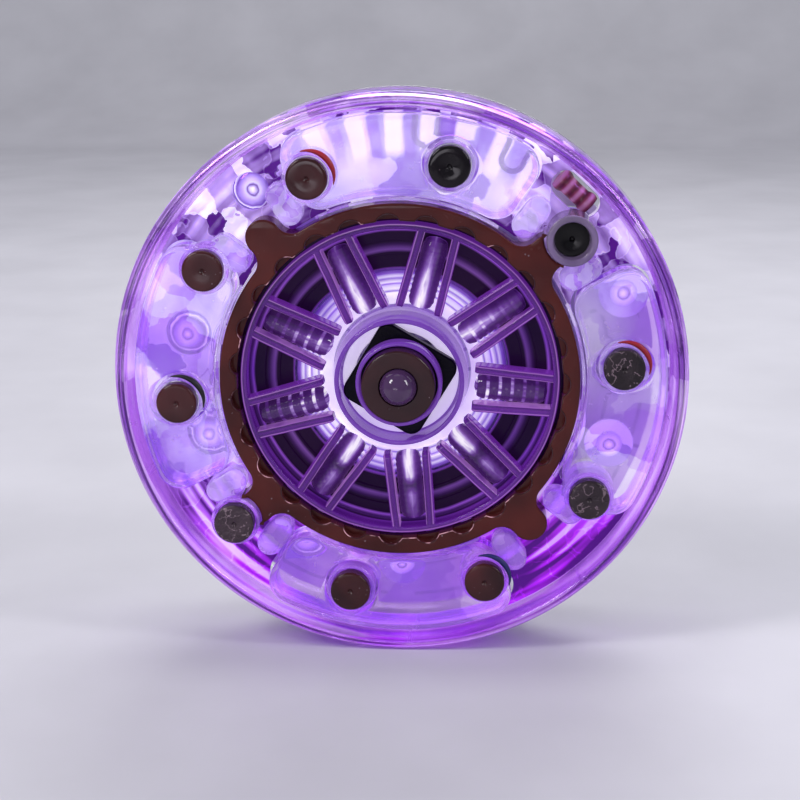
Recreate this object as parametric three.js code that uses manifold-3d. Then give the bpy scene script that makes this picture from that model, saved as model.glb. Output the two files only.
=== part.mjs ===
// A light up spinning top, standing on its rim as a wheel does. Lengths are in millimetres.
// The parts are laid out in the top's own frame: its spin axis is z, with the tip towards +z
// and z = 0 on the faces of the ten housing screws. The whole group is then turned so that the
// tip looks along -Y and the rim stands on Z = 0.
import * as THREE from "three";
import { mergeVertices } from "three/addons/utils/BufferGeometryUtils.js";
import Module from "manifold-3d";

const wasm = await Module();
wasm.setup();

// Driving dimensions.
const RIM_RADIUS = 35.5; // across the corners of the rim's flats
const RIM_FLATS = 24; // shallow flats round the rim, one of them underneath
const RIM_WALL = 1.8;
const RIM_FRONT = -1.7; // front edge of the violet housing
const SPLIT = -9; // back edge of the violet housing
const RIM_BACK = -12.6; // where the clear shell leaves the rim and curves inwards
const BACK = -23.5; // rear face of the launcher hub
const GAP = 0.3; // room left between pieces that touch

const SCREW_CIRCLE = 27.3;
const SCREW_COUNT = 10;
const SCREW_START = 4.84; // degrees from +x to the first screw
const HEAD_RADIUS = 2.5;
const HEAD_HEIGHT = 1.6;
const SHANK_RADIUS = 1.2;
const BOSS_RADIUS = 3.05;
const BOSS_FRONT = -1.3; // the heads stand proud of their bosses
const SUNK_SCREW = 1; // this screw's head lies deep in a taller boss
const SUNK_DEPTH = 1.6;
const SUNK_BOSS_FRONT = -0.1;
const POST_RADIUS = 2.4;

const FLOOR_FRONT = -5; // the housing's recessed floor
const FLOOR_BACK = -6.2;
const PAD_FRONT = -1.9;
const PAD_INNER = 22.9;
const PAD_OUTER = 32.6;
const PAD_HALF_SPAN = 30.5; // degrees
const PAD_CORNER = 3;
const PAD_MIDDLES = { right: -3, top: 87, left: 177, bottom: 267 };

const PLATE_RADIUS = 22.06;
const PLATE_FRONT = -1.8;
const PLATE_BACK = -3;
const PLATE_BORE = 19.95;
const PLATE_SKIRT = [20.9, 22]; // inner and outer radius of the skirt behind the plate
const PLATE_LEDGE = [20.05, 22]; // the ledge under the plate's scallops
const LEDGE_DEPTH = 1.1;
const LOBE_CENTRE = 24.1;
const LOBE_RADIUS = 2.2;
const LOBE_FILLET = 2;
const LOBE_ANGLES = [42, 132, 222, 312];
const SCALLOP_COUNT = 27;
const SCALLOP_RADIUS = 1.6;
const SCALLOP_REACH = 20.8;

const SPOKE_COUNT = 9;
const SPOKE_START = -5; // degrees
const SPOKE_INNER = 9.1;
const SPOKE_HALF_WIDTH = 2.8;
const SPOKE_WALL = 1.05;
const SPOKE_FRONT = -2.7;
const SPOKE_BACK = -5.2;
const SPOKE_RING = [18.85, 19.6]; // inner and outer radius

const HUB_BORE = 7.4;
const COVER_SIDE = 11;
const COVER_CORNER = 1.5;
const COVER_TURN = -31; // degrees
const TIP_REACH = 2; // how far the nub stands in front of the screw faces
const PRESS_TRAVEL = 0.9; // room behind the tip disc for its stroke

const BOARD_FRONT = -9.5;
const BOARD_BACK = -10.7;
const BOARD_RADIUS = 31.5;
// Each lamp's angle in degrees and its radius.
const SIDE_LAMP = [128, 29.2]; // seen through a window in the housing's floor
const LAMPS = [
  [21, 29.2],
  SIDE_LAMP,
  [169, 27],
  [198, 25.6],
  [240.5, 24.8],
  [270, 24.8],
  [341.5, 27.4],
];
const RESISTOR = { angle: 47, radius: 31, thick: 1.4, length: 5.6, z: -7.95 };
const CELL_RADIUS = 5.8;
const CELL_HEIGHT = 5.4;
const CELL_CIRCLE = 8.6;
const CELL_ANGLES = [90, 210, 330];

const radians = THREE.MathUtils.degToRad;
const polar = (radius, degrees) =>
  new THREE.Vector2(radius * Math.cos(radians(degrees)), radius * Math.sin(radians(degrees)));
const screwAngles = Array.from(
  { length: SCREW_COUNT },
  (_, i) => SCREW_START + (360 / SCREW_COUNT) * i,
);

// Geometry and solids.

// Merges shared corners, and turns the faces round if they point inwards.
function closed(geometry) {
  const bare = geometry.clone();
  bare.deleteAttribute("normal");
  bare.deleteAttribute("uv");
  const merged = mergeVertices(bare, 1e-4);
  const p = merged.getAttribute("position");
  const index = merged.index.array;
  const [a, b, c] = [new THREE.Vector3(), new THREE.Vector3(), new THREE.Vector3()];
  const kept = [];
  let volume = 0;
  for (let i = 0; i < index.length; i += 3) {
    const [u, v, w] = [index[i], index[i + 1], index[i + 2]];
    if (u === v || v === w || u === w) continue;
    kept.push(u, v, w);
    a.fromBufferAttribute(p, u);
    b.fromBufferAttribute(p, v);
    c.fromBufferAttribute(p, w);
    volume += a.dot(b.cross(c));
  }
  merged.setIndex(volume < 0 ? kept.reverse() : kept);
  return merged;
}

function solid(geometry) {
  const g = closed(geometry);
  return new wasm.Manifold(
    new wasm.Mesh({
      numProp: 3,
      vertProperties: new Float32Array(g.getAttribute("position").array),
      triVerts: new Uint32Array(g.index.array),
    }),
  );
}

function geometryOf(body) {
  const mesh = body.getMesh();
  const g = new THREE.BufferGeometry();
  g.setAttribute("position", new THREE.BufferAttribute(new Float32Array(mesh.vertProperties), 3));
  g.setIndex(new THREE.BufferAttribute(new Uint32Array(mesh.triVerts), 1));
  return g;
}

// Adds and cuts lists of geometries, and gives the result back as one geometry.
function combine(first, added, cut = []) {
  let body = solid(first);
  for (const g of added) body = body.add(solid(g));
  for (const g of cut) body = body.subtract(solid(g));
  return geometryOf(body);
}

// A closed profile of [radius, z] points turned about z.
function turned(profile, segments, start = 0) {
  const points = profile.map(([r, z]) => new THREE.Vector2(r, z));
  if (profile[0][0] > 0) points.push(points[0].clone());
  return closed(new THREE.LatheGeometry(points, segments, radians(start)).rotateX(Math.PI / 2));
}

// A flat outline carried from one z to another.
function extruded(outline, back, front, holes = []) {
  const shape = new THREE.Shape(outline);
  for (const hole of holes) shape.holes.push(new THREE.Path(hole));
  const g = new THREE.ExtrudeGeometry(shape, { depth: front - back, bevelEnabled: false });
  return closed(g.translate(0, 0, back));
}

// Points along an arc, angles in degrees, with both ends unless open is true.
function arc(centre, radius, from, to, steps, open = false) {
  const count = open ? steps : steps + 1;
  return Array.from({ length: count }, (_, i) =>
    polar(radius, from + ((to - from) * i) / steps).add(centre),
  );
}

// A plain ring of square section.
const ring = (inner, outer, back, front, segments = 32) =>
  turned(
    [
      [inner, back],
      [outer, back],
      [outer, front],
      [inner, front],
    ],
    segments,
  );

const ORIGIN = new THREE.Vector2();
const circle = (centre, radius, steps) => arc(centre, radius, 0, 360, steps, true);
const rod = (centre, radius, back, front, steps) => extruded(circle(centre, radius, steps), back, front);

// Outlines.

// An annular sector with rounded corners: the outline of a light pad.
function sector(inner, outer, halfSpan, corner, middle) {
  const outerTurn = halfSpan - THREE.MathUtils.radToDeg(Math.asin(corner / (outer - corner)));
  const innerTurn = halfSpan - THREE.MathUtils.radToDeg(Math.asin(corner / (inner + corner)));
  const outerAt = (turn) => polar(outer - corner, middle + turn);
  const innerAt = (turn) => polar(inner + corner, middle + turn);
  return [
    ...arc(ORIGIN, outer, middle - outerTurn, middle + outerTurn, 12, true),
    ...arc(outerAt(outerTurn), corner, middle + outerTurn, middle + halfSpan + 90, 4),
    ...arc(innerAt(innerTurn), corner, middle + halfSpan + 90, middle + innerTurn + 180, 4, true),
    ...arc(ORIGIN, inner, middle + innerTurn, middle - innerTurn, 10, true),
    ...arc(innerAt(-innerTurn), corner, middle - innerTurn + 180, middle - halfSpan + 270, 4),
    ...arc(outerAt(-outerTurn), corner, middle - halfSpan - 90, middle - outerTurn, 4, true),
  ];
}

// The plate's outside: a circle that runs through fillets into four round lobes.
function lobedOutline() {
  const outside = PLATE_RADIUS + LOBE_FILLET;
  const reach = LOBE_RADIUS + LOBE_FILLET;
  const cosine = (outside ** 2 + LOBE_CENTRE ** 2 - reach ** 2) / (2 * outside * LOBE_CENTRE);
  const turn = THREE.MathUtils.radToDeg(Math.acos(cosine));
  const bearing = (from, to) => THREE.MathUtils.radToDeg(Math.atan2(to.y - from.y, to.x - from.x));
  const past = (angle, start) => start + ((((angle - start) % 360) + 360) % 360);
  return LOBE_ANGLES.flatMap((middle) => {
    const lobe = polar(LOBE_CENTRE, middle);
    const before = polar(outside, middle - turn);
    const after = polar(outside, middle + turn);
    const foot = middle - turn + 180;
    const head = -past(-bearing(before, lobe), -foot);
    const lobeFrom = bearing(lobe, before);
    const lobeTo = past(bearing(lobe, after), lobeFrom);
    const backFrom = bearing(after, lobe);
    const backTo = -past(-(middle + turn + 180), -backFrom);
    return [
      ...arc(before, LOBE_FILLET, foot, head, 3, true),
      ...arc(lobe, LOBE_RADIUS, lobeFrom, lobeTo, 8, true),
      ...arc(after, LOBE_FILLET, backFrom, backTo, 3, true),
      ...arc(ORIGIN, PLATE_RADIUS, middle + turn, middle + 90 - turn, 12, true),
    ];
  });
}

// The plate's bore: a circle with round scallops bitten out of it.
function scallopedBore() {
  const centre = SCALLOP_REACH - SCALLOP_RADIUS;
  const cosine =
    (PLATE_BORE ** 2 + centre ** 2 - SCALLOP_RADIUS ** 2) / (2 * PLATE_BORE * centre);
  const turn = Math.acos(cosine);
  const side = THREE.MathUtils.radToDeg(
    Math.atan2(PLATE_BORE * Math.sin(turn), PLATE_BORE * Math.cos(turn) - centre),
  );
  return Array.from({ length: SCALLOP_COUNT }, (_, i) => (360 / SCALLOP_COUNT) * i).flatMap(
    (middle) => arc(polar(centre, middle), SCALLOP_RADIUS, middle - side, middle + side, 5),
  );
}

// A square with rounded corners, turned in its own plane.
function roundedSquare(side, corner, turn) {
  const reach = (side / 2 - corner) * Math.SQRT2;
  return [45, 135, 225, 315].flatMap((diagonal) =>
    arc(polar(reach, diagonal + turn), corner, diagonal + turn - 45, diagonal + turn + 45, 4),
  );
}

// A bar with one round end towards the axis: the finger tabs beside the lobes.
function tabOutline(angle, tip, end, width) {
  const half = width / 2;
  const turn = THREE.MathUtils.radToDeg(Math.asin(half / end));
  return [
    ...arc(polar(tip + half, angle), half, angle + 90, angle + 270, 6),
    polar(end, angle - turn),
    polar(end, angle + turn),
  ];
}

// The parts' shapes.

// A box that cuts a window over the resistor.
function resistorWindow(wide) {
  const at = polar(RESISTOR.radius, RESISTOR.angle);
  const box = new THREE.BoxGeometry(wide, RESISTOR.length + 1.2, 8);
  return box.rotateZ(radians(RESISTOR.angle)).translate(at.x, at.y, RESISTOR.z);
}

const rimStart = 180 / RIM_FLATS; // puts a flat, not a corner, underneath
const rimInner = RIM_RADIUS - RIM_WALL;

function lowerHousing() {
  const tray = turned(
    [
      [22.4, FLOOR_BACK],
      [rimInner, FLOOR_BACK],
      [rimInner, SPLIT],
      [RIM_RADIUS, SPLIT],
      [RIM_RADIUS, RIM_FRONT - 0.6],
      [RIM_RADIUS - 0.6, RIM_FRONT],
      [rimInner + 0.5, RIM_FRONT],
      [rimInner, RIM_FRONT - 0.5],
      [rimInner, FLOOR_FRONT],
      [22.4, FLOOR_FRONT],
    ],
    RIM_FLATS,
    rimStart,
  );
  const centres = screwAngles.map((angle) => polar(SCREW_CIRCLE, angle));
  const bosses = centres.map((at, i) =>
    rod(at, BOSS_RADIUS, FLOOR_BACK + 0.2, i === SUNK_SCREW ? SUNK_BOSS_FRONT : BOSS_FRONT, 12),
  );
  const tabs = LOBE_ANGLES.flatMap((middle) => [middle - 10, middle + 10]).map((angle) =>
    extruded(tabOutline(angle, 22.95, 28.5, 3.2), FLOOR_BACK + 0.4, -2.4),
  );
  const seats = centres.map((at, i) =>
    rod(at, HEAD_RADIUS + 0.25, -HEAD_HEIGHT - GAP - (i === SUNK_SCREW ? SUNK_DEPTH : 0), 1, 12),
  );
  const bores = centres.map((at) => rod(at, SHANK_RADIUS + 0.3, FLOOR_BACK - 1, 1, 8));
  const lampWindow = rod(polar(SIDE_LAMP[1], SIDE_LAMP[0]), 2.3, FLOOR_BACK - 1, 0, 12);
  return combine(tray, [...bosses, ...tabs], [...seats, ...bores, lampWindow, resistorWindow(4)]);
}

function lightPad(middle) {
  const outline = sector(PAD_INNER, PAD_OUTER, PAD_HALF_SPAN, PAD_CORNER, middle);
  const pad = extruded(outline, FLOOR_FRONT + GAP, PAD_FRONT);
  const near = screwAngles.filter((angle) => Math.cos(radians(angle - middle)) > Math.cos(radians(40)));
  const holes = near.map((angle) =>
    rod(polar(SCREW_CIRCLE, angle), BOSS_RADIUS + GAP, FLOOR_BACK, 0, 12),
  );
  return combine(pad, [], holes);
}

// The plate, its ledge and its skirt, with two lobes notched where a screw boss stands in them.
function basePlate() {
  const plate = extruded(lobedOutline(), PLATE_BACK, PLATE_FRONT, [scallopedBore()]);
  const skirt = ring(...PLATE_SKIRT, FLOOR_BACK, PLATE_BACK + 0.3, 48);
  const ledge = ring(...PLATE_LEDGE, PLATE_BACK - LEDGE_DEPTH, PLATE_BACK + 0.3, 48);
  const notches = [screwAngles[1], screwAngles[6]].map((angle) =>
    rod(polar(SCREW_CIRCLE, angle), BOSS_RADIUS + GAP, PLATE_BACK - 1, 0, 16),
  );
  return combine(plate, [skirt, ledge], notches);
}

// One spoke's section: a channel with two walls and a half round barrel between them.
function spoke(angle) {
  const half = SPOKE_HALF_WIDTH;
  const inside = half - SPOKE_WALL;
  const floor = SPOKE_BACK + 0.7;
  const outline = [
    new THREE.Vector2(-half, SPOKE_BACK),
    new THREE.Vector2(half, SPOKE_BACK),
    new THREE.Vector2(half, SPOKE_FRONT),
    new THREE.Vector2(inside, SPOKE_FRONT),
    new THREE.Vector2(inside, floor),
    ...arc(new THREE.Vector2(0, floor), inside - 0.15, 0, 180, 6),
    new THREE.Vector2(-inside, floor),
    new THREE.Vector2(-inside, SPOKE_FRONT),
    new THREE.Vector2(-half, SPOKE_FRONT),
  ];
  const length = SPOKE_RING[0] + 0.4 - SPOKE_INNER;
  const bar = new THREE.ExtrudeGeometry(new THREE.Shape(outline), {
    depth: length,
    bevelEnabled: false,
  });
  const along = new THREE.Vector3(Math.cos(radians(angle)), Math.sin(radians(angle)), 0);
  const across = new THREE.Vector3(-along.y, along.x, 0);
  const basis = new THREE.Matrix4().makeBasis(across, new THREE.Vector3(0, 0, 1), along);
  bar.translate(0, 0, SPOKE_INNER);
  return closed(bar.applyMatrix4(basis));
}

function spokeRing() {
  const spokes = Array.from({ length: SPOKE_COUNT }, (_, i) =>
    spoke(SPOKE_START + (360 / SPOKE_COUNT) * i),
  );
  return combine(ring(...SPOKE_RING, SPOKE_BACK, SPOKE_FRONT, 36), spokes);
}

// A ring whose front falls inwards in equal steps.
function steppedRing(inner, outer, back, front, steps, drop) {
  const profile = [
    [inner, back],
    [outer, back],
  ];
  for (let i = 0; i < steps; i++) {
    const z = front - drop * i;
    profile.push([outer - ((outer - inner) * i) / steps, z]);
    profile.push([outer - ((outer - inner) * (i + 1)) / steps, z]);
  }
  return turned(profile, 36);
}

function hubBoss() {
  return turned(
    [
      [HUB_BORE, -9.2],
      [8.4, -9.2],
      [8.4, -5.4],
      [7.95, -2.2],
      [HUB_BORE, -2.2],
    ],
    32,
  );
}

function switchCover() {
  const outline = roundedSquare(COVER_SIDE, COVER_CORNER, COVER_TURN);
  return extruded(outline, -5.2, -3.7, [circle(ORIGIN, 3, 20)]);
}

function tipPlunger() {
  return turned(
    [
      [0, -6.5],
      [2.6, -6.5],
      [2.6, -1.6 - PRESS_TRAVEL],
      [4.5, -1.6 - PRESS_TRAVEL],
      [4.5, -0.3],
      [4.2, 0],
      [2.55, 0],
      [2.55, -1.4],
      [0, -1.4],
    ],
    24,
  );
}

function tipNub() {
  return turned(
    [[0, -1.1], [2.25, -1.1], ...arc(new THREE.Vector2(0, TIP_REACH - 2.25), 2.25, 0, 90, 5).map((v) => [v.x, v.y])],
    20,
  );
}

// A pocketed disc: a flat round plate with round holes.
function holed(radius, back, front, holes, bore = 0) {
  const inside = bore ? [circle(ORIGIN, bore, 36)] : [];
  return extruded(circle(ORIGIN, radius, 48), back, front, [...inside, ...holes]);
}

const postHoles = screwAngles.map((angle) => circle(polar(SCREW_CIRCLE, angle), POST_RADIUS + 0.4, 10));

function lightDiffuser() {
  const lampHoles = LAMPS.map(([angle, radius]) => circle(polar(radius, angle), 2.9, 10));
  const plate = holed(33, -7.9, -7.2, [...postHoles, ...lampHoles], 21.2);
  return combine(plate, [], [resistorWindow(4.6)]);
}

function lamp() {
  const dome = arc(new THREE.Vector2(0, -8.4), 2.5, 30, 90, 3).map((v) => [v.x, -7.6 + (v.y + 7.15) * 0.8]);
  return turned([[0, -9.2], [2.8, -9.2], [2.8, -8.5], [2.45, -8.5], [2.45, -7.7], ...dome], 12);
}

function screw(sunk) {
  const point = -13 + sunk;
  return turned(
    [
      [0, point],
      [SHANK_RADIUS, point],
      [SHANK_RADIUS, -HEAD_HEIGHT],
      [HEAD_RADIUS, -HEAD_HEIGHT],
      [HEAD_RADIUS, -0.25],
      [HEAD_RADIUS - 0.25, 0],
      [0.35, 0],
      [0, -0.25],
    ],
    12,
  );
}

function upperShell() {
  const outside = [
    [RIM_RADIUS, SPLIT - GAP],
    [RIM_RADIUS, RIM_BACK],
    [34.2, -15.2],
    [30.4, -17.9],
    [24.2, -20],
    [16.5, -21.3],
    [9.2, -21.8],
  ];
  const inside = [
    [9.2, -20.2],
    [16.3, -19.7],
    [23.6, -18.4],
    [29.4, -16.4],
    [32.6, -14.2],
    [rimInner, RIM_BACK],
    [rimInner, SPLIT - GAP],
  ];
  const shell = turned([...outside, ...inside].reverse(), RIM_FLATS, rimStart);
  const centres = screwAngles.map((angle) => polar(SCREW_CIRCLE, angle));
  const posts = centres.map((at) => rod(at, POST_RADIUS, -18, FLOOR_BACK - GAP, 10));
  const bores = centres.map((at) => rod(at, SHANK_RADIUS + 0.3, -14, 0, 8));
  return combine(shell, posts, bores);
}

function launcherHub() {
  const body = turned(
    [
      [0, -18.6],
      [5.6, -18.6],
      [5.6, BACK],
      [8.4, BACK],
      [8.9, BACK + 0.5],
      [8.9, -19.9],
      [10.6, -19.9],
      [10.6, -18.6],
      [8.9, -17.6],
      [0, -17.6],
    ],
    32,
  );
  const slot = () => new THREE.BoxGeometry(2.6, 3, 2.4).translate(6.4, 0, BACK + 1.1);
  return combine(body, [], [0, 120, 240].map((turn) => slot().rotateZ(radians(turn))));
}

// A wire along an arc between the board and the diffuser.
function wire(radius, from, to) {
  const points = arc(ORIGIN, radius, from, to, 8).map((v) => new THREE.Vector3(v.x, v.y, -8.7));
  const section = new THREE.Shape(circle(ORIGIN, 0.45, 8));
  const path = new THREE.CatmullRomCurve3(points);
  return closed(new THREE.ExtrudeGeometry(section, { steps: 14, extrudePath: path }));
}

// Materials and the assembly.

const finish = (color, roughness, metalness = 0, opacity = 1) =>
  new THREE.MeshStandardMaterial({
    color,
    roughness,
    metalness,
    opacity,
    transparent: opacity < 1,
  });

const FINISHES = {
  violet: () => finish(0x9a5be0, 0.12, 0, 0.5),
  clear: () => finish(0xe4e4f2, 0.08, 0, 0.35),
  lavender: () => finish(0xb9a8f5, 0.15, 0, 0.6),
  brown: () => finish(0x4b2624, 0.25),
  screwBrown: () => finish(0x3a211d, 0.3, 0.4),
  gunmetal: () => finish(0x2b2a2f, 0.5, 0.7),
  dark: () => finish(0x241330, 0.35, 0.2),
  silver: () => finish(0xd9d4f4, 0.15, 0.9),
  white: () => finish(0xf2effc, 0.4),
  black: () => finish(0x0d0b12, 0.4),
  smoke: () => finish(0x8b7a9c, 0.2, 0, 0.7),
  board: () => finish(0xe6e0f4, 0.5),
  lamp: () => finish(0xf4f0ff, 0.1, 0, 0.6),
  red: () => finish(0xb3202c, 0.45),
  blue: () => finish(0x1b2a6b, 0.45),
  steel: () => finish(0xc8c8cc, 0.3, 1),
  brass: () => finish(0xc9a04a, 0.35, 1),
};

const group = new THREE.Group();

function add(name, geometry, kind, at = [0, 0, 0], turn = 0) {
  const mesh = new THREE.Mesh(geometry, FINISHES[kind]());
  mesh.name = name;
  mesh.position.set(...at);
  mesh.rotation.z = radians(turn);
  group.add(mesh);
}

add("lower_housing", lowerHousing(), "violet");
for (const [side, middle] of Object.entries(PAD_MIDDLES))
  add("light_pad_" + side, lightPad(middle), "lavender");
add("base_plate", basePlate(), "brown");
add("spoke_ring", spokeRing(), "violet");
add("stepped_ring", steppedRing(13.4, 20.5, -7.5, -5.6, 4, 0.4), "dark");
add("reflector_dish", steppedRing(8.7, 13.1, -9.2, -7.2, 3, 0.4), "silver");
add("hub_boss", hubBoss(), "violet");
add("hub_floor", ring(5.7, HUB_BORE - 0.2, -6.3, -5.5), "white");
add("switch_cover", switchCover(), "black");
add("tip_collar", ring(4.8, 5.3, -3.5, -1.3, 24), "violet");
add("tip_plunger", tipPlunger(), "brown");
add("tip_nub", tipNub(), "smoke");
add("switch_button", rod(ORIGIN, 1.7, -8.3, -6.8, 16), "black");
add("switch_base", extruded(roundedSquare(7.6, 0.8, 0), -9.2, -7.6, [circle(ORIGIN, 2, 16)]), "black");
add("light_diffuser", lightDiffuser(), "white");
add("circuit_board", holed(BOARD_RADIUS, BOARD_BACK, BOARD_FRONT, postHoles), "board");
LAMPS.forEach(([angle, radius], i) => {
  const at = polar(radius, angle);
  add("lamp_" + (i + 1), lamp(), "lamp", [at.x, at.y, 0], angle);
});

const resistorAt = polar(RESISTOR.radius, RESISTOR.angle);
add(
  "resistor",
  new THREE.CylinderGeometry(RESISTOR.thick, RESISTOR.thick, RESISTOR.length, 10),
  "red",
  [resistorAt.x, resistorAt.y, RESISTOR.z],
  RESISTOR.angle,
);
add("control_chip", new THREE.BoxGeometry(6, 4, 1.4), "black", [0, 20.5, BOARD_BACK - 1]);
add("red_wire", wire(23.5, 62, 158), "red");
add("black_wire", wire(21.6, 172, 232), "black");
add("blue_wire", wire(23.5, 286, 352), "blue");

const cellHoles = CELL_ANGLES.map((angle) =>
  circle(polar(CELL_CIRCLE, angle), CELL_RADIUS + GAP, 20),
);
add("battery_holder", extruded(circle(ORIGIN, 16, 36), -16.2, BOARD_BACK - GAP, cellHoles), "black");
CELL_ANGLES.forEach((angle, i) => {
  const at = polar(CELL_CIRCLE, angle);
  const back = BOARD_BACK - GAP - CELL_HEIGHT;
  add("button_cell_" + (i + 1), rod(at, CELL_RADIUS, back, back + CELL_HEIGHT, 20), "steel");
});
add("battery_contact", rod(ORIGIN, 13, -16.8, -16.5, 24), "brass");
add("upper_shell", upperShell(), "clear");
add("launcher_hub", launcherHub(), "violet");
screwAngles.forEach((angle, i) => {
  const at = polar(SCREW_CIRCLE, angle);
  const kind = i === 0 || i === 2 || i === 9 ? "gunmetal" : "screwBrown";
  const sunk = i === SUNK_SCREW ? SUNK_DEPTH : 0;
  add("housing_screw_" + (i + 1), screw(sunk), kind, [at.x, at.y, -sunk]);
});

// Stands the top on its rim, with its middle plane over the origin.
group.rotation.x = Math.PI / 2;
group.position.y = (TIP_REACH + BACK) / 2;
group.position.z = RIM_RADIUS * Math.cos(radians(180 / RIM_FLATS));

export default group;
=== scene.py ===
import math
from functools import partial

import bmesh
import bpy
import numpy as np
from mathutils import Matrix, Vector
from mathutils.geometry import tessellate_polygon


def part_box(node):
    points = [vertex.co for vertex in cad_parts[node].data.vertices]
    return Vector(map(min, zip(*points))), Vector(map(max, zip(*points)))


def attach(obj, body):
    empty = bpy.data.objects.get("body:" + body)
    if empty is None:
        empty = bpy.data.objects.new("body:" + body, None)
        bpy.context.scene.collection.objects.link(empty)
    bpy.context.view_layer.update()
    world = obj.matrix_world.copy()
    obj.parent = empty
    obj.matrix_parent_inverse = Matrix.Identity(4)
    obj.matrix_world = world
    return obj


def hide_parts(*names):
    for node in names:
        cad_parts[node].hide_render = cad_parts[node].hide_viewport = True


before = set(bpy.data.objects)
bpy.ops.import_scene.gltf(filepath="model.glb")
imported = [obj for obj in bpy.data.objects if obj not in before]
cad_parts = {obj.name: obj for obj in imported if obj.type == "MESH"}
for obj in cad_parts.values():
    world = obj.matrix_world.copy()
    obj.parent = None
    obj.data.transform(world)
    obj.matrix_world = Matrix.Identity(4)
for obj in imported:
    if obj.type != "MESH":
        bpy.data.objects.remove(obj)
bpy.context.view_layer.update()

# Lengths below are millimetres in the top's own frame: x to the right and y up as seen from the
# tip, z along the spin axis towards the tip, and z = 0 on the faces of the housing screws.
MM = 0.001
SCREW_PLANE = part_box("housing_screw_1")[0].y
AXIS_HEIGHT = (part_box("lower_housing")[0].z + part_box("lower_housing")[1].z) / 2
CASING = "casing"
TIP = "tip"
SHARP_EDGE = 32


def front(node):
    """z of a node's face towards the tip."""
    return (SCREW_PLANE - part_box(node)[0].y) / MM


def back(node):
    """z of a node's face away from the tip."""
    return (SCREW_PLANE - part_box(node)[1].y) / MM


def radius(node):
    """Half a node's width."""
    low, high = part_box(node)
    return (high.x - low.x) / 2 / MM


def centre(node):
    """x and y of a node's middle."""
    low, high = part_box(node)
    return np.array([(low.x + high.x) / 2 / MM, ((low.z + high.z) / 2 - AXIS_HEIGHT) / MM])


RIM_RADIUS = radius("lower_housing")
SPLIT = back("lower_housing")
SCREWS = [centre(f"housing_screw_{i}") for i in range(1, 11)]
LAMPS = [centre(f"lamp_{i}") for i in range(1, 8)]
BOSS_RADIUS = 3.05
BOSS_FRONT = -1.3
SUNK_SCREW = 1
SUNK_BOSS_FRONT = -0.1
RESISTOR_TURN = 47
RESISTOR_BAND = 1.45
# The ten heads are alike; their brown, gunmetal and black finishes are painted reflection, each head
# given the tint of what it reflects.
GUNMETAL_SCREWS = (1, 7, 10)
BLACK_SCREWS = (2, 3)
FLOOR_BACK, FLOOR_FRONT = -6.2, -5.2
PAD_MIDDLES = {"right": -3, "top": 87, "left": 177, "bottom": 267}
PAD_HALF_SPAN = 30.5
PAD_INNER, PAD_OUTER, PAD_CORNER = 22.9, 32.6, 3.0
PAD_BACK, PAD_FRONT, PAD_GAP = -4.7, -1.9, 0.3
FLUTES, FLUTES_START, FLUTES_FULL = 42.0, 26.6, 28.2
LOBE_ANGLES = (42, 132, 222, 312)
TAB_OFFSET = 10
SPOKE_ANGLES = [-5 + 40 * i for i in range(9)]
SPOKE_INNER, SPOKE_END = 9.1, 18.98
SPOKE_START_HALF, SPOKE_END_HALF = 2.95, 2.7
SPOKE_WALL = 0.53
SPOKE_RING = (18.85, 19.6)
HOLDER_BACK, HOLDER_FRONT = -16.2, -11.0
CELL_REACH, CELL_RADIUS = 8.6, 5.8
CELL_ANGLES = (90, 210, 330)
BOARD_BACK, BOARD_FRONT = -10.7, -9.5
LAMP_BACK, LAMP_FRONT = -9.2, -6.8
LAMP_LEG = 1.27

# ---------------------------------------------------------------- points and surfaces


def turn(points, degrees):
    """Points turned about z by an angle."""
    c, s = math.cos(math.radians(degrees)), math.sin(math.radians(degrees))
    points = np.asarray(points, float)
    out = points.copy()
    out[..., 0] = points[..., 0] * c - points[..., 1] * s
    out[..., 1] = points[..., 0] * s + points[..., 1] * c
    return out


def polar(distance, degrees):
    return np.array([math.cos(math.radians(degrees)), math.sin(math.radians(degrees))]) * distance


def arc(middle, distance, start, end, steps):
    """Points along an arc, both ends included."""
    t = np.radians(np.linspace(start, end, steps + 1))
    return np.asarray(middle, float) + distance * np.column_stack([np.cos(t), np.sin(t)])


def circle(middle, distance, steps=48):
    return arc(middle, distance, 0, 360, steps)[:-1]


def fillet(corners, size, steps=4):
    """Each corner is replaced by a curve B(t) = (1-t)^2 a + 2t(1-t) corner + t^2 b, where a and b lie
    on its two sides, at most size away and never past 45% of the side."""
    corners = np.asarray(corners, float)
    count = len(corners)
    sizes = np.broadcast_to(size, count)
    t = np.linspace(0, 1, steps + 1)[:, None]
    out = []
    for i, corner in enumerate(corners):
        if sizes[i] == 0:
            out.append(corner[None])
            continue
        before, after = corners[i - 1] - corner, corners[(i + 1) % count] - corner
        a = corner + before * min(0.45, sizes[i] / np.linalg.norm(before))
        b = corner + after * min(0.45, sizes[i] / np.linalg.norm(after))
        out.append((1 - t) ** 2 * a + 2 * t * (1 - t) * corner + t**2 * b)
    return np.concatenate(out)


def grid_faces(rows, columns, wrap_rows, wrap_columns):
    """Quads between neighbouring grid points; a wrapped side joins its last line to its first."""
    i = np.arange(rows if wrap_rows else rows - 1)
    j = np.arange(columns if wrap_columns else columns - 1)
    i, j = np.meshgrid(i, j, indexing="ij")
    ahead_i, ahead_j = (i + 1) % rows, (j + 1) % columns
    corners = [i * columns + j, i * columns + ahead_j, ahead_i * columns + ahead_j, ahead_i * columns + j]
    return np.stack(corners, -1).reshape(-1, 4)


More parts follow.
